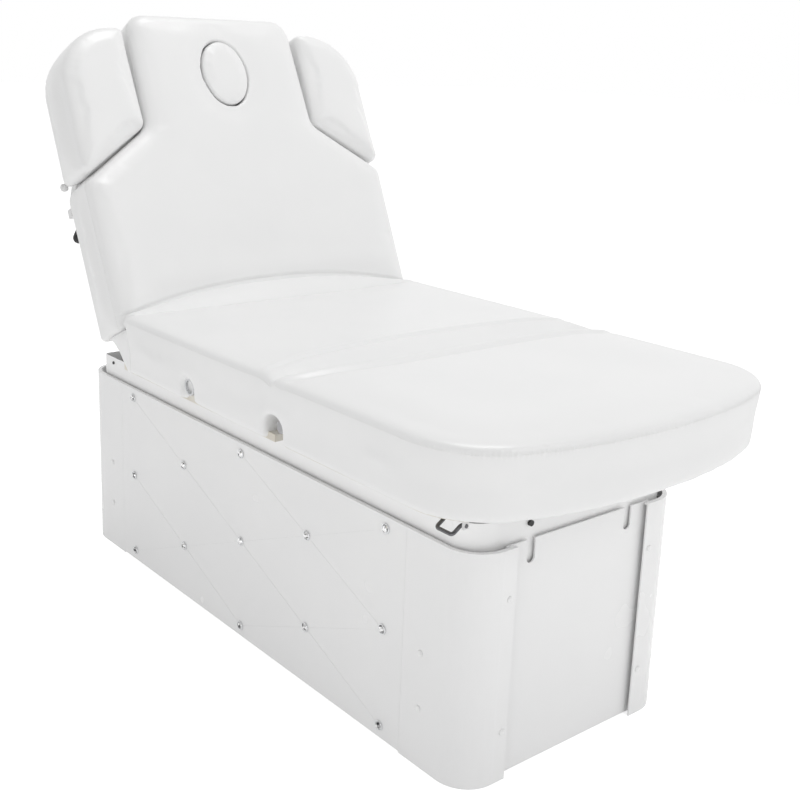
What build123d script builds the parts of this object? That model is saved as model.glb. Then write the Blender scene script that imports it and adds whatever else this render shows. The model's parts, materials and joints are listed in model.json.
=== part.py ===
from build123d import *

import os
from math import atan, cos, degrees, hypot, radians, sin, tan

# Facial treatment bed with a height column base, a reclining backrest and a liftable leg rest.
# Millimetres. +X is the user's right when looking from the foot end, +Y points to the head end
# and +Z is up. The origin is on the floor at the centre of the base footprint.

os.makedirs("parts", exist_ok=True)

# ---------------------------------------------------------------- driving dimensions
SIDES = (-1, 1)  # left, right

# Lower skirt and base
BASE_HALF_X = 250.0
BASE_HALF_Y = 655.0
SKIRT_TOP = 407.0
SHEET = 3.0
CORNER_R = 63.0
POST_FRONT_FLANGE = 158.0
POST_REAR_FLANGE = 166.0
POST_END_FLANGE = 93.0
PANEL_BOTTOM = 3.0
PANEL_GAP = 0.3
END_PANEL_RECESS = 11.0
LIP_WIDTH = 8.0
PLATE = 5.0
BATTEN = 40.0

# Stud pattern on each side panel: 5 columns, 3 studs and 2 studs in turn
STUD_PITCH_Y = 220.0
STUD_PITCH_Z = 90.2
STUD_MID_Y = -5.0
STUD_MID_Z = 206.1
STUD_R = 9.5
GROOVE_WIDTH = 2.0
GROOVE_DEPTH = 0.35

# Notches in the foot panel, and the stop bolts that drop into them
NOTCH_X = 117.0
NOTCH_WIDTH = 18.0
NOTCH_BOTTOM = 366.0
STOP_BOLT_Z = 432.0

# Lift columns
COLUMN_Y = 330.0
# half x, half y, bottom and top of each stage, outer to inner
COLUMN_STAGES = ((50.0, 40.0, 8.0, 372.0), (45.0, 35.0, 33.0, 396.0), (40.0, 30.0, 56.0, 420.0))
COLUMN_WALL = 3.0
MOTOR_R = 22.0
MOTOR_LENGTH = 150.0

# Chassis carried by the columns
RAIL_X = 140.0
RAIL_WIDTH = 30.0
CHASSIS_BOTTOM = 420.0
RAIL_TOP = 450.0
CROSS_TOP = 470.0
CROSS_Y = (-590.0, -410.0, -212.0, -30.0, 185.0, 410.0, 575.0)
HEAD_TUBE_HALF = 170.0
TUBE_WALL = 2.0

# Upper skirt, fixed under the chassis
INNER_HALF_X = 238.0
INNER_FOOT_Y = -637.0
INNER_HEAD_Y = 598.0
INNER_BOTTOM = 170.0
INNER_SHEET = 2.0
INNER_FOOT_R = 50.0
INNER_HEAD_R = 12.0
INNER_SEAM_FOOT = -590.0
INNER_SEAM_HEAD = 578.0

# Upholstered sections: foam on a board
TOP_Z = 627.0
PAD_THICK = 120.0
BOARD_THICK = 13.0
PAD_HALF_TOP = 376.0
PAD_HALF_LOW = 366.0
BOARD_INSET = 10.0
SEAT_REAR_Y = 215.0
SEAT_BOARD_REAR_Y = 262.0
LEG_FOOT_Y = -738.0
LEG_BOW = 70.0
LEG_CORNER_R = 130.0

# Hinge shafts
SHAFT_R = 8.0
SHAFT_Z = 536.0
KNEE_SHAFT_HALF = 350.0
HIP_SHAFT_HALF = 182.0
RUN_CLEARANCE = 0.05
KNEE_Y = -291.0
KNEE_GAP = 15.0
KNEE_OPEN = 14.0
LUG_R = 12.0
LUG_THICK = 6.0
FRAME_TUBE = 25.0
FRAME_X = 180.0

# Backrest, described flat: s runs from the hip to the head, n runs from the face to the front
BACK_ANGLE = 65.0
BACK_HIP_Y = 245.0
BACK_LOW_S = -36.0
BACK_HALF_X = 372.0
SHOULDER_S = 258.0
NECK_X = 212.0
NECK_S = 388.0
HEAD_HALF_X = 202.0
HEAD_TOP_S = 645.0
HEAD_CORNER_R = 42.0

# Side wings beside the head part
WING_INNER_X = 224.0
WING_OUTER_X = 376.0
WING_LOW_IN_S = 387.0
WING_LOW_OUT_S = 294.0
WING_TOP_S = 608.0
WING_SIDE_S = 470.0
WING_TUBE_S = 255.0
WING_AXIS_S = 290.0
WING_AXIS_N = -150.0
WING_PIN_R = 4.0
LOCK_X = 351.0
LOCK_N = -152.0
LOCK_S = 200.0

# Face hole and its plug
FACE_S = 506.0
FACE_HALF_X = 56.0
FACE_HALF_S = 74.0
PLUG_CLEARANCE = 1.0

# Cranks and the cylinders that push them
BACK_CRANK_R = 120.0
BACK_CRANK_X = 95.0
BACK_TRAVEL_MID = 35.0
BACK_AXIS_Z = 424.0
LEG_CRANK_R = 110.0
LEG_CRANK_X = -95.0
LEG_TRAVEL_MID = 16.0
LEG_AXIS_Z = 428.0
CRANK_THICK = 7.0
CRANK_PIN_R = 5.0

# Armrest sockets
SOCKET_Y = -5.0
SOCKET_R = 16.0
SOCKET_BORE_R = 12.5
SOCKET_INNER_X = 250.0
SOCKET_OUTER_X = 362.0

# Release bail: a wire loop that hangs outwards under the leg rest
BAIL_X = -322.0
BAIL_Y = -680.0
BAIL_Z = 499.0
BAIL_HALF = 17.0
BAIL_WIRE_R = 3.0
BAIL_REACH = 21.6
BAIL_HANG = 34.0

# ---------------------------------------------------------------- derived values
PAD_BOTTOM = TOP_Z - PAD_THICK
BOARD_TOP = PAD_BOTTOM + BOARD_THICK
FRAME_BOTTOM = PAD_BOTTOM - FRAME_TUBE
SHAFT_DEPTH = TOP_Z - SHAFT_Z
HIP_OFFSET = SHAFT_DEPTH * tan(radians(BACK_ANGLE / 2))
HIP_Y = BACK_HIP_Y + HIP_OFFSET
HIP_S = -HIP_OFFSET
HIP_N = -SHAFT_DEPTH
BACK_POSE = Pos(0, BACK_HIP_Y, TOP_Z) * Rot(BACK_ANGLE, 0, 0)
RAIL_OUTER_X = RAIL_X + RAIL_WIDTH / 2
FRAME_INNER_X = FRAME_X - FRAME_TUBE / 2
FRAME_LUG_X = FRAME_INNER_X - LUG_THICK
SIDE_PANEL_FOOT_Y = -BASE_HALF_Y + POST_FRONT_FLANGE
SIDE_PANEL_HEAD_Y = BASE_HALF_Y - POST_REAR_FLANGE
END_PANEL_HALF_X = BASE_HALF_X - POST_END_FLANGE


# ---------------------------------------------------------------- small builders
def block(x0, x1, y0, y1, z0, z1):
    """Box between two corners."""
    centre = Pos((x0 + x1) / 2, (y0 + y1) / 2, (z0 + z1) / 2)
    return centre * Box(abs(x1 - x0), abs(y1 - y0), abs(z1 - z0))


def tube_x(x0, x1, y0, y1, z0, z1, wall=TUBE_WALL):
    """Box tube open at both X ends."""
    return block(x0, x1, y0, y1, z0, z1) - block(x0, x1, y0 + wall, y1 - wall, z0 + wall, z1 - wall)


def tube_y(x0, x1, y0, y1, z0, z1, wall=TUBE_WALL):
    """Box tube open at both Y ends."""
    return block(x0, x1, y0, y1, z0, z1) - block(x0 + wall, x1 - wall, y0, y1, z0 + wall, z1 - wall)


def tube_z(half_x, half_y, z0, z1, wall):
    """Box tube open at both Z ends, centred on the Z axis."""
    outer = block(-half_x, half_x, -half_y, half_y, z0, z1)
    return outer - block(wall - half_x, half_x - wall, wall - half_y, half_y - wall, z0, z1)


def rod_x(x0, x1, y, z, radius):
    """Round bar along X."""
    return Pos((x0 + x1) / 2, y, z) * Rot(0, 90, 0) * Cylinder(radius, abs(x1 - x0))


def rod_y(x, y0, y1, z, radius):
    """Round bar along Y."""
    return Pos(x, (y0 + y1) / 2, z) * Rot(90, 0, 0) * Cylinder(radius, abs(y1 - y0))


def plate_x(outline, x0, thick):
    """Flat plate of an outline given as (y, z) points, from x0 towards +X."""
    face = make_face(Polyline([(x0, y, z) for y, z in outline], close=True))
    return extrude(face, thick, dir=(1, 0, 0))


def eye_plate(x0, thick, eye, eye_r, foot, hole_r=0.0):
    """Plate in the YZ plane with a round eye that runs into a rectangular foot (y0, y1, z0, z1)."""
    y0, y1, z0, z1 = foot
    foot_mid = ((y0 + y1) / 2, (z0 + z1) / 2)
    run = Vector(foot_mid[0] - eye[0], foot_mid[1] - eye[1])
    side = Vector(-run.Y, run.X).normalized() * eye_r
    web = [
        (eye[0] + side.X, eye[1] + side.Y),
        (eye[0] - side.X, eye[1] - side.Y),
        (foot_mid[0] - side.X, foot_mid[1] - side.Y),
        (foot_mid[0] + side.X, foot_mid[1] + side.Y),
    ]
    web_limit = block(x0, x0 + thick, min(y0, eye[0] - eye_r), max(y1, eye[0] + eye_r),
                      min(z0, eye[1] - eye_r), max(z1, eye[1] + eye_r))
    body = plate_x(web, x0, thick) & web_limit
    body += rod_x(x0, x0 + thick, eye[0], eye[1], eye_r)
    body += block(x0, x0 + thick, y0, y1, z0, z1)
    if hole_r:
        body -= rod_x(x0, x0 + thick, eye[0], eye[1], hole_r)
    return body


def prism(sketch_face, z0, z1):
    """Upright prism of a flat face drawn at z = 0."""
    return Pos(0, 0, z0) * extrude(sketch_face, z1 - z0)


def mirror_x(solid):
    """The same shape on the other side of the centre plane."""
    return mirror(solid, about=Plane.YZ)


def both_sides(solid):
    """A shape and its mirror image."""
    return [solid, mirror_x(solid)]


def export(name, *solids):
    """Write one node as separate solids."""
    flat = []
    for item in solids:
        flat.extend(item if isinstance(item, (list, tuple)) else [item])
    pieces = [piece for item in flat for piece in item.solids()]
    export_step(Compound(children=pieces), f"parts/{name}.step")


# ---------------------------------------------------------------- base and lower skirt
def base_parts():
    """Floor plate, and timber battens standing on it inside the skirt."""
    half_x = BASE_HALF_X - SHEET
    half_y = BASE_HALF_Y - END_PANEL_RECESS - SHEET
    plate = RectangleRounded(2 * half_x, 2 * half_y, CORNER_R - SHEET)
    export("base_plate", prism(plate, 0, PLATE))
    top = PLATE + BATTEN
    end_x = half_x - CORNER_R
    end_y = half_y - CORNER_R
    battens = both_sides(block(half_x - BATTEN, half_x, -end_y, end_y, PLATE, top))
    for side in SIDES:
        battens.append(block(-end_x, end_x, side * half_y, side * (half_y - BATTEN), PLATE, top))
    export("base_battens", battens)


def corner_post(x_side, y_side):
    """Bent sheet post: one side flange, one end flange, a round corner and a lip along the top."""
    def profile(inset):
        """Rounded footprint corner, inset from the outer face."""
        half_x = BASE_HALF_X - inset
        half_y = BASE_HALF_Y - inset
        return RectangleRounded(2 * half_x, 2 * half_y, CORNER_R - inset)

    flange = POST_REAR_FLANGE if y_side > 0 else POST_FRONT_FLANGE
    window = Pos(BASE_HALF_X - POST_END_FLANGE / 2, BASE_HALF_Y - flange / 2) * Rectangle(POST_END_FLANGE, flange)
    wall = prism((profile(0) - profile(SHEET)) & window, 0, SKIRT_TOP)
    lip = prism((profile(0) - profile(LIP_WIDTH)) & window, SKIRT_TOP - SHEET, SKIRT_TOP)
    post = wall + lip
    if y_side < 0:
        post = mirror(post, about=Plane.XZ)
    return post if x_side > 0 else mirror_x(post)


def stud_places():
    """Stud centres (y, z) on a side panel."""
    places = []
    for column in range(5):
        y = STUD_MID_Y + (column - 2) * STUD_PITCH_Y
        rows = (-2, 0, 2) if column % 2 == 0 else (-1, 1)
        places += [(y, STUD_MID_Z + row * STUD_PITCH_Z) for row in rows]
    return places


def side_panel():
    """Right side panel with a top lip and shallow diagonal grooves between the studs."""
    foot = SIDE_PANEL_FOOT_Y + PANEL_GAP
    head = SIDE_PANEL_HEAD_Y - PANEL_GAP
    panel = block(BASE_HALF_X - SHEET, BASE_HALF_X, foot, head, PANEL_BOTTOM, SKIRT_TOP)
    panel += block(BASE_HALF_X - LIP_WIDTH, BASE_HALF_X, foot, head, SKIRT_TOP - SHEET, SKIRT_TOP)
    slope = degrees(atan(STUD_PITCH_Z / STUD_PITCH_Y))
    run = hypot(STUD_PITCH_Z, STUD_PITCH_Y) - 2 * STUD_R
    for column in range(4):
        for row in range(4):
            rising = -1 if (column + row) % 2 else 1
            y = STUD_MID_Y + (column - 1.5) * STUD_PITCH_Y
            z = STUD_MID_Z + (row - 1.5) * STUD_PITCH_Z
            groove = Pos(BASE_HALF_X, y, z) * Rot(rising * slope, 0, 0) * Box(
                2 * GROOVE_DEPTH, run, GROOVE_WIDTH)
            panel -= groove
    return panel


def end_panel(side, notched):
    """Flat panel between two posts, set back from them, with a lip and optional open notches."""
    outer = BASE_HALF_Y - END_PANEL_RECESS
    half = END_PANEL_HALF_X + 15.0
    panel = block(-half, half, outer - SHEET, outer, PANEL_BOTTOM, SKIRT_TOP)
    if notched:
        for x_side in SIDES:
            x = x_side * NOTCH_X
            rise = SKIRT_TOP - NOTCH_BOTTOM - NOTCH_WIDTH / 2
            low = NOTCH_BOTTOM + NOTCH_WIDTH / 2
            panel -= block(x - NOTCH_WIDTH / 2, x + NOTCH_WIDTH / 2, outer - SHEET, outer, low, low + rise)
            panel -= rod_y(x, outer - SHEET, outer, low, NOTCH_WIDTH / 2)
    return panel if side > 0 else mirror(panel, about=Plane.XZ)


def stud(x_side, y, z):
    """Bezel ring and domed crystal of one stud, on a side panel's outer face."""
    out = Pos(x_side * BASE_HALF_X, y, z) * Rot(0, x_side * 90, 0)
    bezel = Cylinder(STUD_R, 3.0, align=(Align.CENTER, Align.CENTER, Align.MIN))
    seat = Pos(0, 0, 1.0) * Cylinder(STUD_R - 1.5, 2.0, align=(Align.CENTER, Align.CENTER, Align.MIN))
    crystal = Pos(0, 0, 1.0) * Cone(STUD_R - 1.5, 3.5, 5.0, align=(Align.CENTER, Align.CENTER, Align.MIN))
    return out * (bezel - seat), out * crystal


def skirt_parts():
    export("corner_posts_front", corner_post(-1, -1), corner_post(1, -1))
    export("corner_posts_rear", corner_post(-1, 1), corner_post(1, 1))
    panel = side_panel()
    export("side_panel_right", panel)
    export("side_panel_left", mirror_x(panel))
    export("foot_panel", end_panel(-1, True))
    export("head_panel", end_panel(1, False))
    studs = [stud(x_side, y, z) for x_side in SIDES for y, z in stud_places()]
    export("stud_bezels", [bezel for bezel, crystal in studs])
    export("stud_crystals", [crystal for bezel, crystal in studs])
    cap = Cone(5.5, 3.5, 2.0, align=(Align.CENTER, Align.CENTER, Align.MIN))
    caps = []
    for x_side in SIDES:
        for y_side in SIDES:
            for z in (106.0, 205.0):
                caps.append(Pos(x_side * BASE_HALF_X, y_side * 542.0, z) * Rot(0, x_side * 90, 0) * cap)
            for z in (90.0, 322.0):
                caps.append(Pos(x_side * 170.0, y_side * BASE_HALF_Y, z) * Rot(-y_side * 90, 0, 0) * cap)
    export("screw_caps", caps)
    outer = BASE_HALF_Y - END_PANEL_RECESS
    inlet = block(-28, 28, outer, outer + 4, 52, 92) - block(-13, 13, outer + 1, outer + 4, 62, 82)
    for x in (-7.0, 0.0, 7.0):
        inlet += block(x - 1, x + 1, outer + 1, outer + 3.5, 70 - 2.5, 70 + 2.5)
    export("mains_inlet", inlet)


# ---------------------------------------------------------------- lift columns
def column_parts():
    names = ("column_outer_tubes", "column_middle_tubes", "column_inner_tubes")
    for name, (half_x, half_y, low, high) in zip(names, COLUMN_STAGES):
        stage = tube_z(half_x, half_y, low, high, COLUMN_WALL)
        if name == "column_outer_tubes":
            stage += block(-half_x - 15, half_x + 15, -half_y - 15, half_y + 15, PLATE, low)
        export(name, [Pos(0, side * COLUMN_Y, 0) * stage for side in SIDES])
    motor = Pos(0, 0, CHASSIS_BOTTOM - MOTOR_LENGTH / 2) * Cylinder(MOTOR_R, MOTOR_LENGTH)
    export("column_motors", [Pos(0, side * COLUMN_Y, 0) * motor for side in SIDES])


# ---------------------------------------------------------------- chassis and upper skirt
def chassis_parts():
    rails = both_sides(tube_y(RAIL_X - RAIL_WIDTH / 2, RAIL_OUTER_X, -605, INNER_HEAD_Y - INNER_SHEET,
                            CHASSIS_BOTTOM, RAIL_TOP))
    spine = tube_y(-50, 50, -420, 420, CHASSIS_BOTTOM, RAIL_TOP)
    export("chassis_rails", rails, spine)
    half = RAIL_WIDTH / 2
    cross = [tube_x(-INNER_HALF_X, INNER_HALF_X, y - half, y + half, RAIL_TOP, CROSS_TOP) for y in CROSS_Y[:-1]]
    cross.append(tube_x(-HEAD_TUBE_HALF, HEAD_TUBE_HALF, CROSS_Y[-1] - half, CROSS_Y[-1] + half, RAIL_TOP, CROSS_TOP))
    export("chassis_cross_tubes", cross)
    bearers = [tube_x(-200, -125, y - 15, y + 15, CROSS_TOP, PAD_BOTTOM) for y in (-212.0, 185.0)]
    bearers += [mirror_x(bearer) for bearer in bearers]
    export("seat_bearers", bearers)

    brackets = []
    for y in (KNEE_Y, HIP_Y):
        foot = (y - LUG_R, y + LUG_R, CHASSIS_BOTTOM, RAIL_TOP)
        lug = eye_plate(RAIL_OUTER_X, LUG_THICK, (y, SHAFT_Z), LUG_R, foot, SHAFT_R)
        brackets += both_sides(lug)
    for x, z in ((BACK_CRANK_X, BACK_AXIS_Z), (LEG_CRANK_X, LEG_AXIS_Z)):
        foot = (CROSS_Y[3] - 12, CROSS_Y[3] + 12, RAIL_TOP - 8, RAIL_TOP)
        for offset in (-16.0, 12.0):
            brackets.append(eye_plate(x + offset, 4.0, (CROSS_Y[3], z), 10.0, foot, CRANK_PIN_R))
        brackets.append(rod_x(x - 18, x + 18, CROSS_Y[3], z, CRANK_PIN_R))
    export("chassis_brackets", brackets)

    export("knee_shaft", rod_x(-KNEE_SHAFT_HALF, KNEE_SHAFT_HALF, KNEE_Y, SHAFT_Z, SHAFT_R))
    cap = rod_x(KNEE_SHAFT_HALF, KNEE_SHAFT_HALF + 5, KNEE_Y, SHAFT_Z, SHAFT_R + 3)
    export("knee_shaft_caps", both_sides(cap))
    export("hip_shaft", rod_x(-HIP_SHAFT_HALF, HIP_SHAFT_HALF, HIP_Y, SHAFT_Z, SHAFT_R))
    export("control_box", block(-48, 48, -205, -65, CHASSIS_BOTTOM - 46, CHASSIS_BOTTOM))


def inner_end(end_y, seam_y, radius):
    """Upper skirt end: a flat face and two rounded corners that run back to the side seams."""
    side = 1 if end_y > 0 else -1
    length = abs(end_y - seam_y) + 200.0
    centre_y = end_y - side * length / 2
    shell = Pos(0, centre_y) * RectangleRounded(2 * INNER_HALF_X, length, radius)
    shell -= Pos(0, centre_y) * RectangleRounded(
        2 * (INNER_HALF_X - INNER_SHEET), length - 2 * INNER_SHEET, radius - INNER_SHEET)
    window = Pos(0, (end_y + seam_y) / 2) * Rectangle(2 * INNER_HALF_X + 2, abs(end_y - seam_y))
    return prism(shell & window, INNER_BOTTOM, RAIL_TOP)


def upper_skirt_parts():
    side = block(INNER_HALF_X - INNER_SHEET, INNER_HALF_X, INNER_SEAM_FOOT + PANEL_GAP,
                 INNER_SEAM_HEAD - PANEL_GAP, INNER_BOTTOM, RAIL_TOP)
    export("inner_skirt_right", side)
    export("inner_skirt_left", mirror_x(side))
    export("inner_skirt_foot", inner_end(INNER_FOOT_Y, INNER_SEAM_FOOT, INNER_FOOT_R))
    export("inner_skirt_head", inner_end(INNER_HEAD_Y, INNER_SEAM_HEAD, INNER_HEAD_R))
    bolts = both_sides(rod_y(NOTCH_X, INNER_FOOT_Y - 5.0, INNER_FOOT_Y, STOP_BOLT_Z, 5.0))
    bolts += both_sides(rod_x(INNER_HALF_X, INNER_HALF_X + 2.0, 550.0, 438.0, 3.5))
    export("skirt_bolts", bolts)


# ---------------------------------------------------------------- seat and leg section
def trapezoid_pad(y0, y1):
    """Foam block whose sides lean outwards towards the top."""
    lean = (PAD_HALF_TOP - PAD_HALF_LOW) / PAD_THICK
    low = PAD_HALF_LOW + lean * BOARD_THICK
    outline = Polyline([(-low, y0, BOARD_TOP), (low, y0, BOARD_TOP), (PAD_HALF_TOP, y0, TOP_Z),
                        (-PAD_HALF_TOP, y0, TOP_Z)], close=True)
    return extrude(make_face(outline), y1 - y0, dir=(0, 1, 0))


def knee_wedge(side):
    """Space kept free on one side of the knee shaft; side is +1 for the seat, -1 for the leg rest."""
    eye_top = SHAFT_Z + LUG_R
    edge = KNEE_Y + side * KNEE_GAP
    outline = [(KNEE_Y - side * 200, PAD_BOTTOM - 30), (edge, PAD_BOTTOM - 30), (edge, eye_top),
               (edge + side * KNEE_OPEN, TOP_Z + 0.1), (edge + side * KNEE_OPEN, TOP_Z + 30),
               (KNEE_Y - side * 200, TOP_Z + 30)]
    return plate_x(outline, -500, 1000)


def leg_outline(half, foot_y, bow, radius):
    """Plan of the leg rest: straight sides, rounded foot corners and a bowed foot edge."""
    top_y = KNEE_Y
    tip = foot_y - bow
    face = Pos(0, (top_y + foot_y) / 2) * Rectangle(2 * half, top_y - foot_y)
    bow_r = (half**2 + bow**2) / (2 * bow)
    cap = Pos(0, tip + bow_r) * Circle(bow_r) & Pos(0, foot_y - bow) * Rectangle(2 * half, 4 * bow)
    face = face + cap
    corners = [v for v in face.vertices() if v.Y < foot_y + 5]
    return fillet(corners, radius)


def seat_parts():
    wedge = knee_wedge(1)
    seat = trapezoid_pad(-400, SEAT_REAR_Y) - wedge
    for side in SIDES:
        seat -= rod_x(side * SOCKET_INNER_X, side * 400, SOCKET_Y, SHAFT_Z, SOCKET_R + 0.5)
    export("seat_cushion", seat)
    half = PAD_HALF_LOW - BOARD_INSET
    board = block(-half, half, KNEE_Y + KNEE_GAP, SEAT_BOARD_REAR_Y, PAD_BOTTOM, BOARD_TOP)
    export("seat_board", board)
    hip = [(SEAT_REAR_Y + 2, BOARD_TOP), (SEAT_REAR_Y + 2, 586), (SEAT_BOARD_REAR_Y, 566),
           (SEAT_BOARD_REAR_Y, BOARD_TOP)]
    export("hip_cushion", plate_x(hip, -half, 2 * half))
    socket = rod_x(SOCKET_INNER_X, SOCKET_OUTER_X, SOCKET_Y, SHAFT_Z, SOCKET_R)
    socket -= rod_x(SOCKET_INNER_X, SOCKET_OUTER_X, SOCKET_Y, SHAFT_Z, SOCKET_BORE_R)
    export("armrest_sockets", both_sides(socket))


def leg_parts():
    outline = leg_outline(PAD_HALF_TOP, LEG_FOOT_Y, LEG_BOW, LEG_CORNER_R)
    lean = degrees(atan((PAD_HALF_TOP - PAD_HALF_LOW) / PAD_THICK))
    pad = Pos(0, 0, TOP_Z) * extrude(outline, -(TOP_Z - BOARD_TOP), taper=lean)
    export("leg_cushion", pad - knee_wedge(-1))
    board_half = PAD_HALF_LOW - BOARD_INSET
    board_face = leg_outline(board_half, LEG_FOOT_Y + 26, LEG_BOW - 5, LEG_CORNER_R - 20)
    export("leg_board", prism(board_face, PAD_BOTTOM, BOARD_TOP) - knee_wedge(-1))

    rail_start = KNEE_Y - KNEE_GAP
    rails = both_sides(tube_y(FRAME_INNER_X, FRAME_X + FRAME_TUBE / 2, -700, rail_start, FRAME_BOTTOM, PAD_BOTTOM))
    export("leg_rails", rails)
    cross = [tube_x(-FRAME_INNER_X, FRAME_INNER_X, y, y + FRAME_TUBE, FRAME_BOTTOM, PAD_BOTTOM)
             for y in (-700.0, -520.0)]
    cross.append(tube_x(-FRAME_LUG_X, FRAME_LUG_X, rail_start - FRAME_TUBE, rail_start, FRAME_BOTTOM, PAD_BOTTOM))
    export("leg_cross_tubes", cross)

    lug = eye_plate(FRAME_LUG_X, LUG_THICK, (KNEE_Y, SHAFT_Z), LUG_R,
                    (KNEE_Y - LUG_R, KNEE_Y + 3, FRAME_BOTTOM, PAD_BOTTOM), SHAFT_R + RUN_CLEARANCE)
    foot = block(FRAME_LUG_X, FRAME_INNER_X, rail_start - 30, KNEE_Y, FRAME_BOTTOM, PAD_BOTTOM)
    brackets = both_sides(lug + foot)
    pin_angle = radians(-90 + LEG_TRAVEL_MID)
    pin = (KNEE_Y + LEG_CRANK_R * cos(pin_angle), SHAFT_Z + LEG_CRANK_R * sin(pin_angle))
    crank_x = LEG_CRANK_X - CRANK_THICK / 2
    crank_foot = (rail_start - FRAME_TUBE, rail_start, FRAME_BOTTOM - 14, FRAME_BOTTOM)
    brackets.append(eye_plate(crank_x, CRANK_THICK, pin, 12.0, crank_foot)
                    + rod_x(LEG_CRANK_X - 14, LEG_CRANK_X + 14, pin[0], pin[1], CRANK_PIN_R))
    export("leg_brackets", brackets)
    bail_parts()
    return pin


# ---------------------------------------------------------------- leg release bail
def bail_parts():
    """Wire loop that hangs outwards under the leg rest, and the bracket that holds its ends."""
    x_low = BAIL_X - BAIL_REACH * cos(radians(BAIL_HANG))
    z_low = BAIL_Z - BAIL_REACH * sin(radians(BAIL_HANG))
    y0 = BAIL_Y - BAIL_HALF
    y1 = BAIL_Y + BAIL_HALF
    path = FilletPolyline((BAIL_X, y0 - 10, BAIL_Z), (BAIL_X, y0, BAIL_Z), (x_low, y0, z_low),
                          (x_low, y1, z_low), (BAIL_X, y1, BAIL_Z), (BAIL_X, y1 + 10, BAIL_Z), radius=5.0)
    section = Plane(origin=path @ 0, z_dir=path % 0) * Circle(BAIL_WIRE_R)
    export("release_bail", sweep(section, path=path))
    ear = block(BAIL_X - 5, BAIL_X + 5, y0 - 9, y0 - 5.5, BAIL_Z - 5, PAD_BOTTOM)
    ear -= rod_y(BAIL_X, y0 - 9, y0 - 5.5, BAIL_Z, BAIL_WIRE_R + RUN_CLEARANCE)
    far_ear = Pos(0, 2 * BAIL_Y, 0) * mirror(ear, about=Plane.XZ)
    bridge = block(BAIL_X - 5, BAIL_X + 5, y0 - 9, y1 + 9, PAD_BOTTOM - 2, PAD_BOTTOM)
    export("bail_bracket", ear + far_ear + bridge)


# ---------------------------------------------------------------- backrest (drawn flat, then posed)
def back_outline(inset):
    """Backrest plan in (x, s): wide body, slanted shoulders and a narrow head part."""
    half = BACK_HALF_X - inset
    neck = NECK_X - inset
    head = HEAD_HALF_X - inset
    right = [(half, BACK_LOW_S + inset), (half, SHOULDER_S - inset), (half - 30, SHOULDER_S + 36 - inset),
             (neck, NECK_S - inset), (head, HEAD_TOP_S - inset)]
    left = [(-x, s) for x, s in reversed(right)]
    face = make_face(Polyline(right + left, close=True))
    head_corners = [v for v in face.vertices() if v.Y > HEAD_TOP_S - inset - 5]
    face = fillet(head_corners, HEAD_CORNER_R - inset)
    bends = [v for v in face.vertices() if SHOULDER_S - inset - 2 < v.Y < SHOULDER_S + 40]
    return fillet(bends, 18)


def wing_outline(inset):
    """Right wing plan in (x, s): straight inner edge, slanted lower edge, curved outer corner."""
    inner = WING_INNER_X + inset
    outer = WING_OUTER_X - inset
    low_in = (inner, WING_LOW_IN_S + inset)
    low_out = (outer, WING_LOW_OUT_S + inset)
    side = (outer, WING_SIDE_S)
    top = (inner, WING_TOP_S - inset)
    corner = ((inner + outer) / 2 + 36 - inset / 2, 565 - inset)
    edges = Line(top, low_in) + Line(low_in, low_out) + Line(low_out, side) + ThreePointArc(side, corner, top)
    face = make_face(edges)
    sharp = [v for v in face.vertices() if v.Y < WING_SIDE_S - 20]
    face = fillet(sharp, 16)
    return fillet([v for v in face.vertices() if v.Y > WING_TOP_S - inset - 1], 10)


def face_oval(grow):
    return Pos(0, FACE_S) * Ellipse(FACE_HALF_X + grow, FACE_HALF_S + grow)


def back_parts():
    board_top = -PAD_THICK + BOARD_THICK
    hole = prism(face_oval(PLUG_CLEARANCE), -PAD_THICK, 0)
    cushion = prism(back_outline(0), board_top, 0) - hole
    board = prism(back_outline(BOARD_INSET), -PAD_THICK, board_top) - hole
    export("back_cushion", BACK_POSE * cushion)
    export("back_board", BACK_POSE * board)
    export("face_plug", BACK_POSE * prism(face_oval(0), -PAD_THICK, 0))

    low_n = -PAD_THICK - FRAME_TUBE
    rail = tube_y(FRAME_INNER_X, FRAME_X + FRAME_TUBE / 2, -45, 613, low_n, -PAD_THICK)
    export("back_rails", [BACK_POSE * tube for tube in both_sides(rail)])
    cross = [tube_x(-FRAME_INNER_X, FRAME_INNER_X, s, s + FRAME_TUBE, low_n, -PAD_THICK)
             for s in (WING_TUBE_S, 588.0)]
    cross.append(tube_x(-FRAME_LUG_X, FRAME_LUG_X, -20, -20 + FRAME_TUBE, low_n, -PAD_THICK))
    wing_arm = tube_x(FRAME_X + FRAME_TUBE / 2, 350, WING_TUBE_S, WING_TUBE_S + FRAME_TUBE, low_n, -PAD_THICK)
    cross += both_sides(wing_arm)
    export("back_cross_tubes", [BACK_POSE * tube for tube in cross])

    eye = (HIP_S, HIP_N)
    lug = eye_plate(FRAME_LUG_X, LUG_THICK, eye, LUG_R, (-45, 0, low_n, -PAD_THICK), SHAFT_R + RUN_CLEARANCE)
    lug -= block(FRAME_LUG_X - 1, FRAME_LUG_X + LUG_THICK + 1, BACK_LOW_S - 1.5, 40, -PAD_THICK, 0)
    brackets = both_sides(lug)
    pin_angle = radians(-90 - BACK_TRAVEL_MID)
    pin = (HIP_S + BACK_CRANK_R * cos(pin_angle), HIP_N + BACK_CRANK_R * sin(pin_angle))
    crank_foot = (-20, 5, low_n - 14, low_n)
    crank = eye_plate(BACK_CRANK_X - CRANK_THICK / 2, CRANK_THICK, pin, 14.0, crank_foot)
    crank -= block(80, 110, -60, 60, low_n, -PAD_THICK)
    crank += rod_x(BACK_CRANK_X - 14, BACK_CRANK_X + 14, pin[0], pin[1], CRANK_PIN_R)
    brackets.append(crank)
    export("back_brackets", [BACK_POSE * bracket for bracket in brackets])
    return BACK_POSE * Pos(0, pin[0], pin[1])


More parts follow.
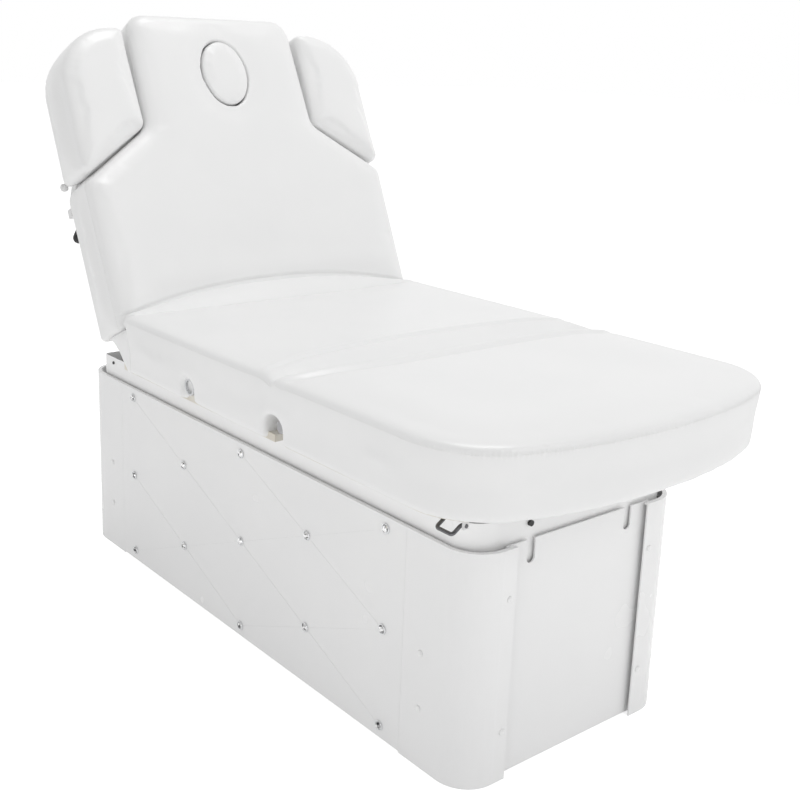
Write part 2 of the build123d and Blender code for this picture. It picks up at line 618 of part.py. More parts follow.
def wing_parts():
    board_top = -PAD_THICK + BOARD_THICK
    cushion = prism(wing_outline(0), board_top, 0)
    board = prism(wing_outline(BOARD_INSET), -PAD_THICK, board_top)
    axis = (WING_AXIS_S, WING_AXIS_N)
    leaf = block(304, 346, 306, 420, -PAD_THICK - 3, -PAD_THICK)
    for x in (306.0, 330.0, 342.0):
        leaf += eye_plate(x, 4.0, axis, 9.0, (308, 326, -PAD_THICK - 3, -PAD_THICK), WING_PIN_R + RUN_CLEARANCE)
    for side, name in ((-1, "left"), (1, "right")):
        pieces = {"cushion": cushion, "board": board, "leaf": leaf, "lock": lock_plunger()}
        for piece, solid in pieces.items():
            placed = solid if side > 0 else mirror_x(solid)
            export(f"wing_{piece}_{name}", BACK_POSE * placed)

    tube_face = -PAD_THICK - FRAME_TUBE
    fixed = []
    for x in (311.0, 325.0):
        arm = eye_plate(x, 4.0, axis, 9.0, (262, 278, tube_face - 6, tube_face), WING_PIN_R)
        arm -= block(x, x + 4, WING_TUBE_S, WING_TUBE_S + FRAME_TUBE, tube_face, -PAD_THICK)
        fixed += both_sides(arm)
    guide = block(338, LOCK_X + 8, 244, 262, LOCK_N - 9, tube_face)
    guide -= Pos(LOCK_X, 253, LOCK_N) * Rot(90, 0, 0) * Cylinder(3 + RUN_CLEARANCE, 40)
    fixed += both_sides(guide)
    export("wing_hinge_brackets", [BACK_POSE * bracket for bracket in fixed])
    pins = both_sides(rod_x(304, 348, WING_AXIS_S, WING_AXIS_N, WING_PIN_R))
    export("wing_hinge_pins", [BACK_POSE * pin for pin in pins])


def lock_plunger():
    """Index plunger with a drop-shaped knob, under the right wing's hinge."""
    rod = rod_y(LOCK_X, LOCK_S, 277, LOCK_N, 3.0)
    bulb = Pos(LOCK_X, LOCK_S - 4, LOCK_N) * Sphere(13)
    taper = Pos(LOCK_X, LOCK_S + 11, LOCK_N) * Rot(-90, 0, 0) * Cone(11.2, 4.0, 16)
    return rod + bulb + taper


# ---------------------------------------------------------------- cylinders
def cylinder(x, z, rear_y, body_y, mouth_y, body_r, rod_r, bore_r):
    """Cylinder body with a rear eye block and an open, gland-fitted bore at its mouth."""
    way = 1 if mouth_y > rear_y else -1
    body = rod_y(x, body_y, mouth_y, z, body_r)
    body += block(x - 11.5, x + 11.5, rear_y - way * 10, body_y, z - 10, z + 10)
    body -= rod_x(x - 12, x + 12, rear_y, z, CRANK_PIN_R)
    body -= rod_y(x, body_y + way * 15, mouth_y, z, rod_r + RUN_CLEARANCE)
    body -= rod_y(x, body_y + way * 15, mouth_y - way * 15, z, bore_r)
    return body


def yoke_rod(x, z, pin_y, slot_z, slot_half, base_y, inner_y, rod_r):
    """Rod with a slotted fork that takes the crank pin."""
    way = 1 if pin_y > base_y else -1
    low, high = slot_z
    cheeks = []
    for side in SIDES:
        cheek = block(x + side * 4.5, x + side * 12.5, base_y, pin_y + way * 16, low - 6, high + 6)
        cheek -= block(x + side * 4.5, x + side * 12.5, pin_y - slot_half, pin_y + slot_half, low, high)
        cheeks.append(cheek)
    base = block(x - 12.5, x + 12.5, base_y, base_y + way * 10, low - 6, high + 6)
    return cheeks[0] + cheeks[1] + base + rod_y(x, base_y, inner_y, z, rod_r)


def cylinder_parts(back_pin, leg_pin):
    rear = CROSS_Y[3]
    body = cylinder(BACK_CRANK_X, BACK_AXIS_Z, rear, 0.0, 190.0, 16.0, 8.0, 11.0)
    export("back_actuator_body", body)
    base = back_pin.position.Y - 26.0
    rod = yoke_rod(BACK_CRANK_X, BACK_AXIS_Z, back_pin.position.Y, (409.0, 445.0), 8.5, base, base - 185.0, 8.0)
    export("back_actuator_rod", rod)
    body = cylinder(LEG_CRANK_X, LEG_AXIS_Z, rear, -60.0, -195.0, 11.0, 5.0, 8.0)
    export("leg_spring_body", body)
    base = leg_pin[0] + 26.0
    rod = yoke_rod(LEG_CRANK_X, LEG_AXIS_Z, leg_pin[0], (419.5, 437.0), 6.5, base, base + 140.0, 5.0)
    export("leg_spring_rod", rod)


base_parts()
skirt_parts()
column_parts()
chassis_parts()
upper_skirt_parts()
seat_parts()
leg_pin_place = leg_parts()
back_pin_place = back_parts()
wing_parts()
cylinder_parts(back_pin_place, leg_pin_place)
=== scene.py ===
import json
from math import atan2, cos, pi, radians, sin, tan

import bmesh
import bpy
import numpy as np
from mathutils import Matrix, Vector, kdtree


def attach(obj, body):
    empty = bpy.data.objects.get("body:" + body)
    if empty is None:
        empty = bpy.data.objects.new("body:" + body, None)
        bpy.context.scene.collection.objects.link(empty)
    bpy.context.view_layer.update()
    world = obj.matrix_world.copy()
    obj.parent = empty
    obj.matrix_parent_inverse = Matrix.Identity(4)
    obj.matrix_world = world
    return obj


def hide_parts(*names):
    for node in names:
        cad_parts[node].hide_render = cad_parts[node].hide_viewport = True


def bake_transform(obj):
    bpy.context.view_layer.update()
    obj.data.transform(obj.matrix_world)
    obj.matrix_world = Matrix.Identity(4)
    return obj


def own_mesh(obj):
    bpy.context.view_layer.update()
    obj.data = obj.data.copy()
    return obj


# Looks of the facial treatment bed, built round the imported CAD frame. Metres, the row's frame:
# +X right seen from the foot end, +Y to the head end, +Z up. Helper dimensions are in millimetres.

MM = 0.001
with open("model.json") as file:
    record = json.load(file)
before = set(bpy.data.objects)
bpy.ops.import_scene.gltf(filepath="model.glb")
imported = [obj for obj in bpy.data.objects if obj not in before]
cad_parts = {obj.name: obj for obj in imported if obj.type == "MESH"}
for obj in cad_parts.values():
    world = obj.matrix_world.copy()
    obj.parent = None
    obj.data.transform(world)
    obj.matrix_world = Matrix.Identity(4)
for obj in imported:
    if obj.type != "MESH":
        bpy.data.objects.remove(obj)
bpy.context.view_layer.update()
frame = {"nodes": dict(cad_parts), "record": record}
scene = bpy.context.scene

# ---------------------------------------------------------------- dimensions shared with the CAD (mm)
TOP_Z = 627.0
PAD_THICK = 120.0
PAD_BOTTOM = TOP_Z - PAD_THICK
PAD_HALF_TOP = 374.0
SIDE_LEAN = 8.0
SEAT_REAR_Y = 226.0
SHAFT_Z = 536.0
KNEE_Y = -291.0
BACK_ANGLE = radians(65.0)
BACK_HIP_Y = 245.0
FACE_S = 506.0
FACE_HALF_X = 56.0
FACE_HALF_S = 74.0
SOCKET_Y = -5.0
SKIRT_HALF_X = 250.0

BACK_POSE = Matrix.Translation((0, BACK_HIP_Y * MM, TOP_Z * MM)) @ Matrix.Rotation(BACK_ANGLE, 4, "X")


# ---------------------------------------------------------------- materials
def shader(name):
    """New material, its node tree and its Principled node."""
    mat = bpy.data.materials.new(name)
    mat.use_nodes = True
    tree = mat.node_tree
    return mat, tree, tree.nodes["Principled BSDF"]


def texture(tree, kind, scale, **settings):
    """Procedural texture in the row's own coordinates."""
    coords = tree.nodes.get("Texture Coordinate") or tree.nodes.new("ShaderNodeTexCoord")
    coords.name = "Texture Coordinate"
    node = tree.nodes.new(kind)
    node.inputs["Scale"].default_value = scale
    for key, value in settings.items():
        if key in node.inputs:
            node.inputs[key].default_value = value
        else:
            setattr(node, key, value)
    tree.links.new(coords.outputs["Object"], node.inputs["Vector"])
    return node


def ramp(tree, source, low, high):
    """Maps a 0 to 1 value to a range."""
    node = tree.nodes.new("ShaderNodeMapRange")
    node.inputs["To Min"].default_value = low
    node.inputs["To Max"].default_value = high
    tree.links.new(source, node.inputs["Value"])
    return node.outputs["Result"]


def tint(tree, source, color_a, color_b, low=0.35, high=0.65):
    """Mixes two colours by a texture value."""
    node = tree.nodes.new("ShaderNodeValToRGB")
    node.color_ramp.elements[0].position = low
    node.color_ramp.elements[1].position = high
    node.color_ramp.elements[0].color = (*color_a, 1)
    node.color_ramp.elements[1].color = (*color_b, 1)
    tree.links.new(source, node.inputs["Fac"])
    return node.outputs["Color"]


def bump(tree, source, distance, strength=1.0, below=None):
    """Bump from a height value, on top of another bump if one is given."""
    node = tree.nodes.new("ShaderNodeBump")
    node.inputs["Distance"].default_value = distance
    node.inputs["Strength"].default_value = strength
    tree.links.new(source, node.inputs["Height"])
    if below is not None:
        tree.links.new(below, node.inputs["Normal"])
    return node.outputs["Normal"]


def vinyl():
    """White upholstery vinyl: fine pebbled grain, faint tonal drift, soft sheen."""
    mat, tree, bsdf = shader("vinyl_white")
    drift = texture(tree, "ShaderNodeTexNoise", 5.0, Detail=3.0)
    color = tint(tree, drift.outputs["Fac"], (0.872, 0.873, 0.872), (0.888, 0.888, 0.886))
    tree.links.new(color, bsdf.inputs["Base Color"])
    polish = texture(tree, "ShaderNodeTexNoise", 30.0, Detail=4.0)
    tree.links.new(ramp(tree, polish.outputs["Fac"], 0.28, 0.38), bsdf.inputs["Roughness"])
    grain = texture(tree, "ShaderNodeTexVoronoi", 620.0, feature="DISTANCE_TO_EDGE")
    pores = texture(tree, "ShaderNodeTexNoise", 1500.0, Detail=2.0)
    pull = texture(tree, "ShaderNodeTexNoise", 9.0, Detail=2.0)
    soft = bump(tree, pull.outputs["Fac"], 0.0015, 0.35)
    pebble = bump(tree, grain.outputs["Distance"], 0.00012, 0.45, soft)
    tree.links.new(bump(tree, pores.outputs["Fac"], 0.00006, 0.4, pebble), bsdf.inputs["Normal"])
    bsdf.inputs["Specular IOR Level"].default_value = 0.5
    bsdf.inputs["Sheen Weight"].default_value = 0.08
    return mat


def paint(name, dark, light, roughness, coat=0.0):
    """Powder coat: orange-peel bump, slight tonal and gloss variation."""
    mat, tree, bsdf = shader(name)
    drift = texture(tree, "ShaderNodeTexNoise", 4.0, Detail=3.0)
    tree.links.new(tint(tree, drift.outputs["Fac"], dark, light), bsdf.inputs["Base Color"])
    peel = texture(tree, "ShaderNodeTexNoise", 420.0, Detail=2.0)
    tree.links.new(bump(tree, peel.outputs["Fac"], 0.00008, 0.35), bsdf.inputs["Normal"])
    tree.links.new(ramp(tree, drift.outputs["Fac"], roughness, roughness + 0.08), bsdf.inputs["Roughness"])
    bsdf.inputs["Coat Weight"].default_value = coat
    bsdf.inputs["Coat Roughness"].default_value = 0.12
    return mat


def metal(name, color, roughness, stretch=(1.0, 1.0, 1.0), brushed=0.0):
    """Metal with fine polishing lines along one direction."""
    mat, tree, bsdf = shader(name)
    bsdf.inputs["Metallic"].default_value = 1.0
    lines = texture(tree, "ShaderNodeTexNoise", 260.0, Detail=3.0)
    mapping = tree.nodes.new("ShaderNodeMapping")
    mapping.inputs["Scale"].default_value = stretch
    tree.links.new(tree.nodes["Texture Coordinate"].outputs["Object"], mapping.inputs["Vector"])
    tree.links.new(mapping.outputs["Vector"], lines.inputs["Vector"])
    darker = tuple(0.9 * value for value in color)
    tree.links.new(tint(tree, lines.outputs["Fac"], darker, color), bsdf.inputs["Base Color"])
    tree.links.new(ramp(tree, lines.outputs["Fac"], roughness, roughness + 0.12), bsdf.inputs["Roughness"])
    tree.links.new(bump(tree, lines.outputs["Fac"], 0.00005, brushed), bsdf.inputs["Normal"])
    return mat


def plastic(name, dark, light, roughness):
    """Moulded plastic with a fine spark-eroded texture."""
    mat, tree, bsdf = shader(name)
    drift = texture(tree, "ShaderNodeTexNoise", 40.0, Detail=2.0)
    tree.links.new(tint(tree, drift.outputs["Fac"], dark, light), bsdf.inputs["Base Color"])
    tree.links.new(ramp(tree, drift.outputs["Fac"], roughness, roughness + 0.1), bsdf.inputs["Roughness"])
    fine = texture(tree, "ShaderNodeTexNoise", 900.0, Detail=2.0)
    tree.links.new(bump(tree, fine.outputs["Fac"], 0.00008, 0.4), bsdf.inputs["Normal"])
    return mat


def plywood():
    """Sealed plywood: long wavy grain lines."""
    mat, tree, bsdf = shader("board")
    grain = texture(tree, "ShaderNodeTexWave", 14.0, Distortion=7.0, Detail=3.0, bands_direction="X")
    tree.links.new(tint(tree, grain.outputs["Fac"], (0.70, 0.66, 0.58), (0.78, 0.75, 0.68), 0.2, 0.9),
                   bsdf.inputs["Base Color"])
    bsdf.inputs["Roughness"].default_value = 0.55
    tree.links.new(bump(tree, grain.outputs["Fac"], 0.0002, 0.3), bsdf.inputs["Normal"])
    return mat


def crystal():
    """Foil-backed cut crystal: mirror metal whose colour runs from near black to white in small cells,
    painted dark and bright reflections on the facets.
    """
    mat, tree, bsdf = shader("crystal")
    # Cells from near black to white: painted reflections of the facets.
    reflection_cells = texture(tree, "ShaderNodeTexVoronoi", 230.0, feature="F1")
    tree.links.new(tint(tree, reflection_cells.outputs["Color"], (0.03, 0.03, 0.035), (1.0, 1.0, 1.0), 0.3, 0.6),
                   bsdf.inputs["Base Color"])
    haze = texture(tree, "ShaderNodeTexNoise", 300.0, Detail=2.0)
    tree.links.new(ramp(tree, haze.outputs["Fac"], 0.02, 0.08), bsdf.inputs["Roughness"])
    bsdf.inputs["Metallic"].default_value = 1.0
    bsdf.inputs["Coat Weight"].default_value = 1.0
    return mat


MATERIALS = {
    "vinyl_white": vinyl(),
    "panel_white": paint("panel_white", (0.872, 0.872, 0.874), (0.886, 0.886, 0.886), 0.22, 0.3),
    # Brighter copy of panel_white: painted light for the inner skirts, which sit in shade under the mattress
    # overhang.
    "skirt_white_painted_light": paint("skirt_white_painted_light", (0.93, 0.93, 0.93), (0.95, 0.95, 0.95), 0.2, 0.3),
    "frame_white": paint("frame_white", (0.74, 0.74, 0.745), (0.80, 0.80, 0.80), 0.42),
    "hinge_white": paint("hinge_white", (0.78, 0.78, 0.78), (0.86, 0.86, 0.86), 0.35),
    "column_alu": metal("column_alu", (0.80, 0.81, 0.82), 0.28, (1, 1, 0.05), 0.3),
    "steel": metal("steel", (0.70, 0.71, 0.72), 0.22, (0.05, 1, 1), 0.3),
    "chrome": metal("chrome", (0.86, 0.87, 0.88), 0.04, (1, 1, 1), 0.02),
    "crystal": crystal(),
    "board": plywood(),
    "black_plastic": plastic("black_plastic", (0.012, 0.012, 0.013), (0.022, 0.022, 0.023), 0.38),
    "black_steel": paint("black_steel", (0.02, 0.02, 0.02), (0.035, 0.035, 0.035), 0.4),
    "cap_white": plastic("cap_white", (0.84, 0.84, 0.84), (0.90, 0.90, 0.90), 0.25),
    # Grey copy of the white cap plastic: painted shade on the knee shaft caps deep inside the mattress
    # slots.
    "cap_painted_shade": plastic("cap_painted_shade", (0.40, 0.40, 0.41), (0.48, 0.48, 0.49), 0.35),
    # Darkened copy of chrome: painted dark reflection and shade on the release bail under the mattress.
    "chrome_painted_dark": metal("chrome_painted_dark", (0.16, 0.16, 0.165), 0.12, (1, 1, 1), 0.05),
    "thread": plastic("thread", (0.82, 0.82, 0.81), (0.90, 0.90, 0.89), 0.6),
}
# Per-node overrides of the record's finish, all painted light: darkened chrome on the bail, grey caps in the
# knee slots for shade, brighter paint on the shaded inner skirts.
PAINTED_LIGHT_LOOK = {"release_bail": "chrome_painted_dark", "knee_shaft_caps": "cap_painted_shade"}
PAINTED_LIGHT_LOOK.update({f"inner_skirt_{end}": "skirt_white_painted_light" for end in ("left", "right", "foot", "head")})
for row in frame["record"]["subparts"]:
    data = frame["nodes"][row["node"]].data
    data.materials.clear()
    look = PAINTED_LIGHT_LOOK.get(row["node"], row["material_slot"])
    data.materials.append(MATERIALS[look])


# ---------------------------------------------------------------- mesh helpers
CUSHION_PRESSURE = 4
CLOTH_FRAMES = 20


def new_piece(name, verts, faces, material_name, smooth=True):
    """Mesh object from millimetre vertices."""
    mesh = bpy.data.meshes.new(name)
    mesh.from_pydata([tuple(MM * c for c in v) for v in verts], [], faces)
    mesh.update()
    obj = bpy.data.objects.new(name, mesh)
    scene.collection.objects.link(obj)
    mesh.materials.append(MATERIALS[material_name])
    mesh.polygons.foreach_set("use_smooth", [smooth] * len(mesh.polygons))
    return obj


def rounded(corners, step=4.0):
    """Closed outline through (x, y, radius) corners, each turned into an arc, sampled evenly."""
    points = []
    count = len(corners)
    for i, (x, y, radius) in enumerate(corners):
        here = Vector((x, y))
        before = (Vector(corners[i - 1][:2]) - here).normalized()
        after = (Vector(corners[(i + 1) % count][:2]) - here).normalized()
        half = before.angle(after) / 2
        if radius < 0.5 or half > radians(88):
            points.append(here)
            continue
        reach = radius / tan(half)
        centre = here + (before + after).normalized() * (radius / sin(half))
        start = here + before * reach - centre
        end = here + after * reach - centre
        turn = start.angle_signed(end)
        parts = max(3, int(abs(turn) * radius / step))
        angle = atan2(start.y, start.x)
        for k in range(parts + 1):
            at = angle - turn * k / parts
            points.append(centre + radius * Vector((cos(at), sin(at))))
    dense = []
    for i, here in enumerate(points):
        there = points[(i + 1) % len(points)]
        parts = max(1, round((there - here).length / step))
        dense += [here.lerp(there, k / parts) for k in range(parts)]
    return dense


def inset(outline, amount):
    """Outline moved inwards along its normals; the outline runs anticlockwise."""
    moved = []
    for i, here in enumerate(outline):
        along = (outline[(i + 1) % len(outline)] - outline[i - 1]).normalized()
        moved.append(here + amount * Vector((-along.y, along.x)))
    return moved


def boxed(name, outline, levels):
    """Closed form of stacked outlines; levels are (height, inset) from the underside up."""
    verts = []
    for height, amount in levels:
        verts += [(p.x, p.y, height) for p in inset(outline, amount)]
    count = len(outline)
    faces = [tuple(reversed(range(count)))]
    for level in range(len(levels) - 1):
        low = level * count
        for i in range(count):
            j = (i + 1) % count
            faces.append((low + i, low + j, low + count + j, low + count + i))
    top = (len(levels) - 1) * count
    faces.append(tuple(range(top, top + count)))
    return new_piece(name, verts, faces, "vinyl_white")


def apply_modifiers(obj):
    """Bakes the modifiers into the mesh."""
    bpy.context.view_layer.update()
    evaluated = obj.evaluated_get(bpy.context.evaluated_depsgraph_get())
    mesh = bpy.data.meshes.new_from_object(evaluated)
    obj.modifiers.clear()
    old = obj.data
    obj.data = mesh
    bpy.data.meshes.remove(old)
    return obj


def cut(obj, *cutters):
    """Takes the cutters' volumes out of a mesh."""
    for cutter in cutters:
        modifier = obj.modifiers.new("cut", "BOOLEAN")
        modifier.operation = "DIFFERENCE"
        modifier.solver = "EXACT"
        modifier.object = cutter
        apply_modifiers(obj)
        bpy.data.objects.remove(cutter)
    return obj


def coords(obj):
    """Vertex places in millimetres."""
    data = np.empty(3 * len(obj.data.vertices))
    obj.data.vertices.foreach_get("co", data)
    return data.reshape(-1, 3) / MM


def set_coords(obj, values):
    """Moves the vertices to places in millimetres."""
    obj.data.vertices.foreach_set("co", (values * MM).ravel())
    obj.data.update()


def normals(obj):
    """Unit normal of each vertex."""
    data = np.empty(3 * len(obj.data.vertices))
    obj.data.vertex_normals.foreach_get("vector", data)
    return data.reshape(-1, 3)


def seam_tree(paths):
    """Search tree of the points of all seams, in millimetres."""
    points = [p for path in paths for p in path]
    tree = kdtree.KDTree(len(points))
    for i, p in enumerate(points):
        tree.insert(p, i)
    tree.balance()
    return tree


def distances(tree, values):
    """Distance of each point to the nearest seam point."""
    return np.array([tree.find(v)[2] for v in values])


def smooth_step(values):
    """Soft rise from 0 to 1."""
    t = np.clip(values, 0, 1)
    return t * t * (3 - 2 * t)


def stuff(obj, sewn, held, voxel, cap, hold, groove=1.4, groove_width=3.0):
    """Turns a boxed form into a stuffed cushion: even mesh, inflated cloth, held edges, sewn grooves."""
    remesh = obj.modifiers.new("remesh", "REMESH")
    remesh.mode = "VOXEL"
    remesh.voxel_size = voxel * MM
    apply_modifiers(obj)
    rest = coords(obj)
    slack = smooth_step(distances(seam_tree(sewn + held), rest) / hold)[:, None]
    cloth = obj.modifiers.new("cloth", "CLOTH")
    cloth.settings.quality = 4
    cloth.settings.mass = 0.3
    cloth.settings.tension_stiffness = 25
    cloth.settings.compression_stiffness = 25
    cloth.settings.use_pressure = True
    cloth.settings.uniform_pressure_force = CUSHION_PRESSURE
    cloth.settings.effector_weights.gravity = 0
    scene.frame_start = 1
    scene.frame_end = CLOTH_FRAMES
    for number in range(1, CLOTH_FRAMES + 1):
        scene.frame_set(number)
    evaluated = obj.evaluated_get(bpy.context.evaluated_depsgraph_get())
    data = np.empty(3 * len(evaluated.data.vertices))
    evaluated.data.vertices.foreach_get("co", data)
    moved = data.reshape(-1, 3) / MM - rest
    obj.modifiers.clear()
    scene.frame_set(1)
    length = np.maximum(np.linalg.norm(moved, axis=1), 1e-9)[:, None]
    moved *= np.minimum(1, cap / length) * slack
    set_coords(obj, rest + moved)
    smooth = obj.modifiers.new("smooth", "SMOOTH")
    smooth.factor = 0.5
    smooth.iterations = 3
    subdivide = obj.modifiers.new("subdivide", "SUBSURF")
    subdivide.levels = 1
    subdivide.render_levels = 1
    apply_modifiers(obj)
    if sewn:
        now = coords(obj)
        depth = groove * np.exp(-(distances(seam_tree(sewn), now) / groove_width) ** 2)
        set_coords(obj, now - normals(obj) * depth[:, None])
    dress(obj)
    return obj


def dress(obj):
    """Smooth shading and the upholstery material."""
    obj.data.polygons.foreach_set("use_smooth", [True] * len(obj.data.polygons))
    obj.data.materials.clear()
    obj.data.materials.append(MATERIALS["vinyl_white"])


def soften(obj, voxel, turns):
    """Even mesh with its edges rounded off."""
    remesh = obj.modifiers.new("remesh", "REMESH")
    remesh.mode = "VOXEL"
    remesh.voxel_size = voxel * MM
    smooth = obj.modifiers.new("smooth", "SMOOTH")
    smooth.factor = 0.5
    smooth.iterations = turns
    subdivide = obj.modifiers.new("subdivide", "SUBSURF")
    subdivide.levels = 1
    subdivide.render_levels = 1
    apply_modifiers(obj)
    dress(obj)
    return obj


def shape(obj, field):
    """Moves each point of a mesh by a field of its place and normal, in millimetres."""
    now = coords(obj)
    set_coords(obj, now + field(now, normals(obj)))
    return obj


def bell(values, width):
    """Soft bump of height 1 round zero."""
    return np.exp(-(values / width) ** 2)


def stitches(name, paths, length=4.0, gap=3.0, radius=0.45):
    """Row of sewn stitches: short round-ended threads along each path."""
    verts, faces = [], []
    sides = 6
    for path in paths:
        walked, target = 0.0, gap
        for a, b in zip(path, path[1:]):
            a, b = Vector(a), Vector(b)
            span = (b - a).length
            while span > 1e-6 and walked + span >= target:
                centre = a.lerp(b, (target - walked) / span)
                along = (b - a).normalized()
                side = along.orthogonal().normalized()
                other = along.cross(side)
                base = len(verts)
                for offset, size in ((-0.5, 0.35), (-0.38, 1.0), (0.38, 1.0), (0.5, 0.35)):
                    for k in range(sides):
                        turn = 2 * pi * k / sides
                        spoke = radius * size * (cos(turn) * side + sin(turn) * other)
                        verts.append(centre + offset * length * along + spoke)
                for ring in range(3):
                    for k in range(sides):
                        m = (k + 1) % sides
                        low = base + ring * sides
                        faces.append((low + k, low + m, low + sides + m, low + sides + k))
                faces.append(tuple(base + k for k in reversed(range(sides))))
                faces.append(tuple(base + 3 * sides + k for k in range(sides)))
                target += length + gap
            walked += span
    return new_piece(name, verts, faces, "thread")


def lathe(name, profile, places, material_name, sides=24):
    """Round pieces of one profile of (radius, height), at each place matrix, as one object."""
    verts, faces = [], []
    for place in places:
        base = len(verts)
        for radius, height in profile:
            for k in range(sides):
                turn = 2 * pi * k / sides
                verts.append(place @ Vector((radius * cos(turn), radius * sin(turn), height)))
        for ring in range(len(profile) - 1):
            for k in range(sides):
                m = (k + 1) % sides
                low = base + ring * sides
                faces.append((low + k, low + m, low + sides + m, low + sides + k))
        top = base + (len(profile) - 1) * sides
        faces.append(tuple(base + k for k in reversed(range(sides))))
        faces.append(tuple(top + k for k in range(sides)))
    return new_piece(name, verts, faces, material_name)


def finish_piece(obj, body, slot, *nodes):
    """Hides the CAD parts a piece stands in for and hangs it on the body it rides on."""
    if nodes:
        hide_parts(*nodes)
    if body:
        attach(obj, body)
    return obj


# ---------------------------------------------------------------- mattress over seat and leg rest
BOW = 70.0
FOOT_Y = -736.0
FOOT_CORNER_R = 140.0
SEAM_Z = 619.0
COVER_TOP_Z = 628.5
KNEE_SPAN = 350.0
KNEE_REAR_Y = -216.0
KNEE_FRONT_Y = -318.0
KNEE_DROP = 19.0
KNEE_SLOT_Y = KNEE_Y + 7
KNEE_SLOT_HALF = 27
SOCKET_SLOT_HALF = 23


def mattress_outline(half):
    """Plan of the mattress, anticlockwise from the rear right corner: bowed foot, big foot corners."""
    radius = (half**2 + BOW**2) / (2 * BOW)
    bow = []
    steps = 14
    for k in range(1, steps):
        x = -half * cos(pi * k / steps) * 0.58
        y = FOOT_Y - BOW + radius - (radius**2 - x**2) ** 0.5
        bow.append((x, y, 0.0))
    corners = [(half, SEAT_REAR_Y, 8.0), (-half, SEAT_REAR_Y, 8.0), (-half, FOOT_Y, FOOT_CORNER_R)]
    corners += bow
    corners.append((half, FOOT_Y, FOOT_CORNER_R))
    return rounded(corners)


def path_at(outline, height, amount):
    """Closed path of 3-D points along an outline, at a height and inset."""
    ring = [(p.x, p.y, height) for p in inset(outline, amount)]
    return ring + ring[:1]


def side_slot(x_side, y, z, half_y, half_z, depth):
    """Cutter for an arched opening in the mattress side that runs out through its lower edge."""
    points = []
    for k in range(17):
        turn = pi * k / 16
        points.append((y + half_y * cos(turn), z + half_z * sin(turn)))
    points += [(y - half_y, PAD_BOTTOM - 20), (y + half_y, PAD_BOTTOM - 20)]
    outer, inner = x_side * 420.0, x_side * (420.0 - depth)
    verts = [(outer, a, b) for a, b in points] + [(inner, a, b) for a, b in points]
    count = len(points)
    faces = [tuple(range(count)), tuple(reversed(range(count, 2 * count)))]
    faces += [(i, i + count, (i + 1) % count + count, (i + 1) % count) for i in range(count)]
    cutter = new_piece("cutter", verts, faces, "vinyl_white")
    bm = bmesh.new()
    bm.from_mesh(cutter.data)
    bmesh.ops.recalc_face_normals(bm, faces=bm.faces)
    bm.to_mesh(cutter.data)
    bm.free()
    return cutter


def knee_shape(points, normal):
    """Slope and soft step across the mattress where the leg rest folds."""
    x, y, z = points.T
    top = smooth_step((z - 575) / 40)
    part = np.clip(np.abs(x) / KNEE_SPAN, 0, 1.1)
    rear_line = KNEE_REAR_Y - 38 * part**2
    front_line = KNEE_FRONT_Y - 24 * (x / KNEE_SPAN) ** 3
    slope = smooth_step((rear_line - y) / (rear_line - front_line))
    slope = 0.35 * slope + 0.65 * np.clip((rear_line - y) / (rear_line - front_line), 0, 1)
    rise = smooth_step((front_line + 3 - y) / 17)
    drop = -KNEE_DROP * slope * (1 - rise) - 1.5 * rise
    crease = 2.0 * bell(y - rear_line - 10, 9) - 3.6 * bell(y - rear_line, 5)
    crease -= 3.5 * bell(y - front_line - 1, 4)
    second = 2.5 * bell(y - front_line + 16, 8) - 4.0 * bell(y - front_line + 33, 8)
    near_side = 1 - 0.7 * smooth_step((np.abs(x) - 325) / 50)
    side = smooth_step((np.abs(x) - 352) / 18)
    wave = 2.4 * bell(y + 322, 30) - 2.2 * bell(y + 255, 26)
    move = np.zeros_like(points)
    move[:, 2] = (drop + crease + second) * top * near_side
    move[:, 0] = np.sign(x) * side * wave * smooth_step((z - 540) / 40)
    return move


def gather_shape(points, normal):
    """Small gathers in the boxing under the seam at the foot, and slack along the lower edge."""
    x, y, z = points.T
    foot = smooth_step((-690 - y) / 60)
    under = bell(z - SEAM_Z + 6, 7)
    around = np.arctan2(x, -(y + 600)) * 330
    gathers = 0.55 * np.sin(around * 2 * pi / 6.5) * foot * under
    slack = 1.1 * np.sin(y / 47.0 + 1.3 * np.sin(y / 120.0)) * bell(z - 540, 26)
    return normal * (gathers + slack)[:, None]


